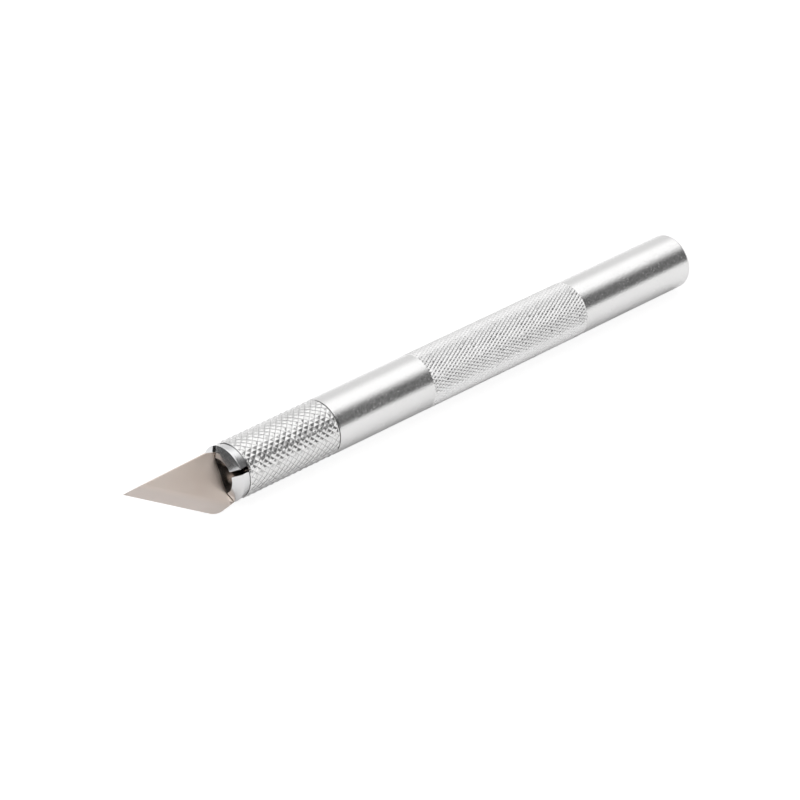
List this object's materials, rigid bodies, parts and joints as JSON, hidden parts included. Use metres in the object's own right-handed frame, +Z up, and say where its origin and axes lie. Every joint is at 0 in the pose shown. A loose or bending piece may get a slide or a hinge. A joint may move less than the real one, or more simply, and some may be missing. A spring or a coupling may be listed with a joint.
{
  "type": "craft knife",
  "caption": "Slim round metal craft knife: a diamond-knurled collar draws a slotted collet onto a removable, broad pointed blade at the end of a turned handle with a knurled grip band.",
  "frame": {"origin": "middle of the overall length, on the knife's axis seen from above, on the table that the knife lies on", "axes": "+X along the handle from the blade's point to the rear end, +Z up as the knife lies, +Y away from the picture's camera"},
  "size_m": [0.1428, 0.0112, 0.0112],
  "materials": {
    "handle_aluminium": "satin turned bar with a fine rolled diamond knurl on the grip band",
    "collar_aluminium": "bright, coarse pointed diamond knurl",
    "collet_steel": "bright plated steel, turned",
    "blade_steel": "smooth rolled strip with a ground edge"
  },
  "bodies": {
    "handle": {"handle_barrel": "handle_aluminium"},
    "collar": {"knurled_collar": "collar_aluminium"},
    "collet": {"split_collet": "collet_steel"},
    "blade": {"blade": "blade_steel"}
  },
  "joints": [
    {"name": "collar_turn", "type": "hinge", "parent": "handle", "child": "collar", "pos_m": [-0.0364, 0, 0.0056], "axis": [-1, 0, 0], "range_deg": [0, 1080]},
    {"name": "collet_draw", "type": "slide", "parent": "collar", "child": "collet", "axis": [-1, 0, 0], "range_m": [0, 0.0027]},
    {"name": "blade_slide", "type": "slide", "parent": "collet", "child": "blade", "axis": [-1, 0, 0], "range_m": [0, 0.016]}
  ],
  "couplings": [
    {"joint": "collet_draw", "follows": "collar_turn", "m_per_rad": 0.00014324}
  ]
}
